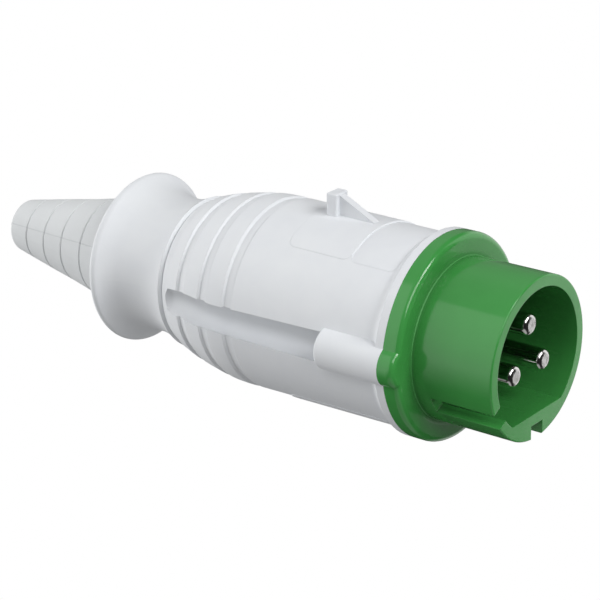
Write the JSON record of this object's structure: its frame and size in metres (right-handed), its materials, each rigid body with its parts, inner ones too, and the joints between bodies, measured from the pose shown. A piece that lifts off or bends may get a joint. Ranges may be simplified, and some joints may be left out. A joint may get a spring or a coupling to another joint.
{
  "type": "pin and sleeve plug",
  "caption": "Straight pin and sleeve plug with a keyed round collar, lobed flange, grooved grip handle, locking lug, round hand guard and stepped conical cable sleeve.",
  "frame": {"origin": "centre of the open rim of the keyed collar, on the plug's axis", "axes": "+Z along the axis from the rim to the cable end; +Y towards the locking lug, opposite the main keyway; +X towards the screw channel on the side keyway's side"},
  "size_m": [0.0626, 0.0623, 0.1844],
  "materials": {
    "shell_plastic": "satin light grey moulding",
    "green_plastic": "glossy green moulding",
    "sleeve_plastic": "soft light grey moulding",
    "cage_plastic": "plain grey moulding",
    "nickel": "nickel-plated brass",
    "screw_steel": "zinc-plated steel",
    "insert_brass": "turned brass",
    "seal_rubber": "black rubber"
  },
  "bodies": {
    "root": {"front_shroud": "green_plastic", "contact_carrier": "green_plastic", "pin_1": "nickel", "pin_2": "nickel", "pin_3": "nickel", "terminal_screws": "screw_steel", "carrier_screws": "screw_steel", "flange_gasket": "seal_rubber", "handle": "shell_plastic", "screw_washers": "screw_steel", "assembly_screws": "screw_steel", "flange_inserts": "insert_brass", "gland_nut": "shell_plastic", "gland_o_ring": "seal_rubber", "clamp_cage": "cage_plastic", "cable_seal": "seal_rubber", "slip_ring": "cage_plastic", "cable_sleeve": "sleeve_plastic"}
  },
  "joints": []
}
